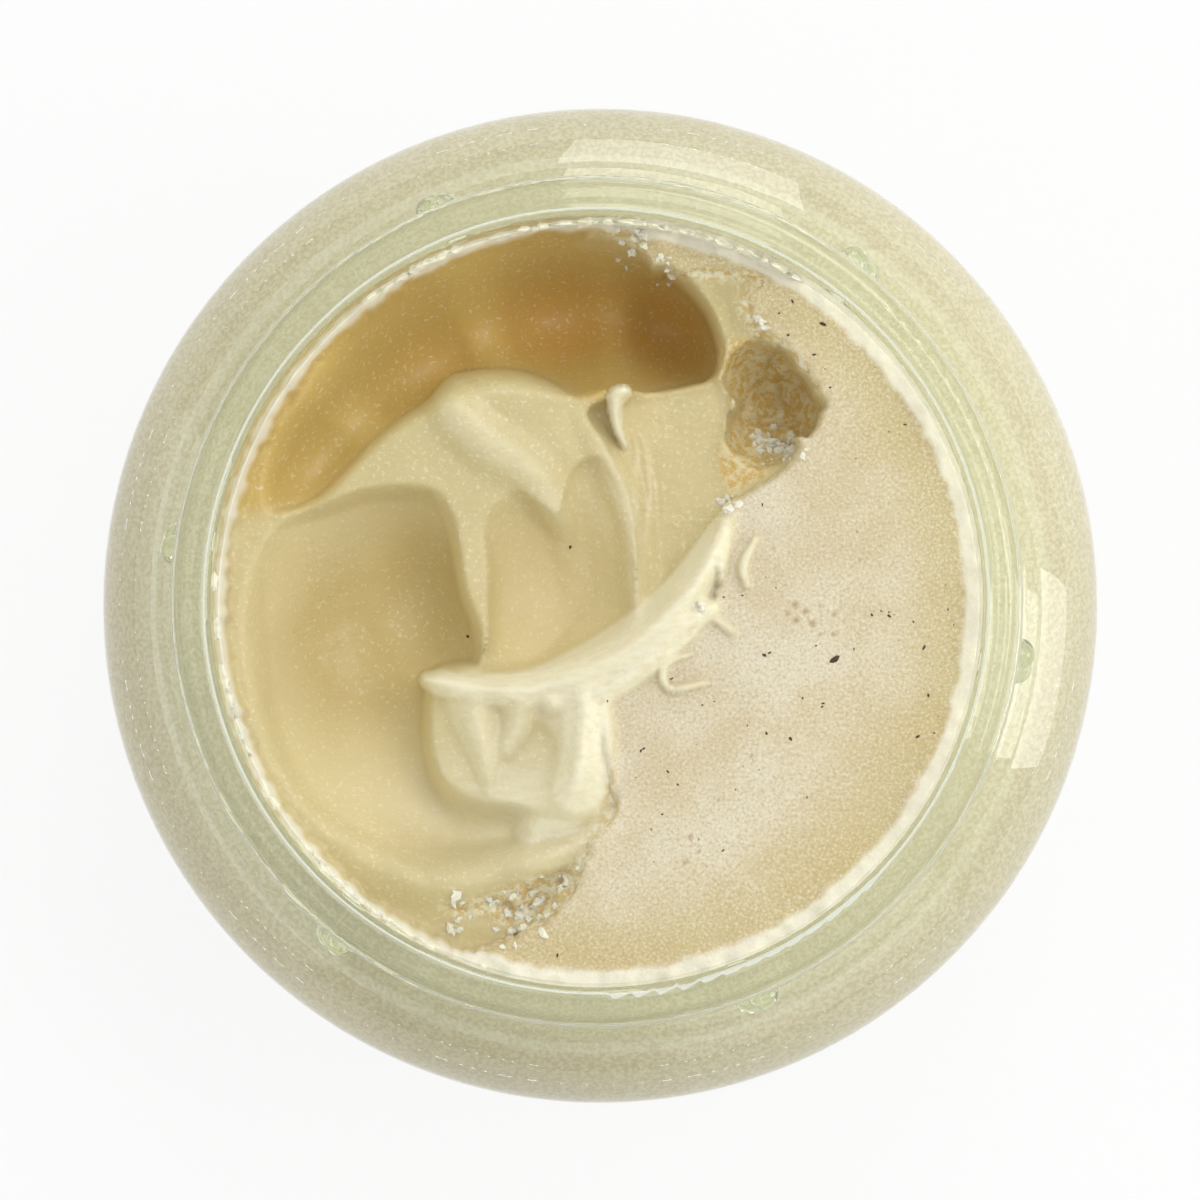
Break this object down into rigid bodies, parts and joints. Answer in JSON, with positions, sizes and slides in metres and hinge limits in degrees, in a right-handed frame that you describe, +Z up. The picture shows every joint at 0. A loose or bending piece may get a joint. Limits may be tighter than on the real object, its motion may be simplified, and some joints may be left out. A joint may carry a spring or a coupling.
{
  "type": "open honey jar with creamed honey",
  "caption": "Squat round clear glass jar with a twist-off lug neck, open, filled with pale creamed honey that has a foamy skin and hollows, folds and a ribbon dug by a spoon.",
  "frame": {"origin": "middle of the base, at the level of the ring that the jar stands on", "axes": "+Z up along the jar's axis, out of the mouth; the deep hollow in the honey lies towards +Y and -X, the foam skin towards +X"},
  "size_m": [0.0931, 0.0932, 0.084],
  "materials": {
    "glass": "clear, smooth, very slightly green glass",
    "honey": "creamed honey: pale, soft, translucent, with a moist gloss where it was dug and a matt skin of fine foam"
  },
  "bodies": {
    "root": {"glass_jar": "glass", "creamed_honey": "honey"}
  },
  "joints": []
}
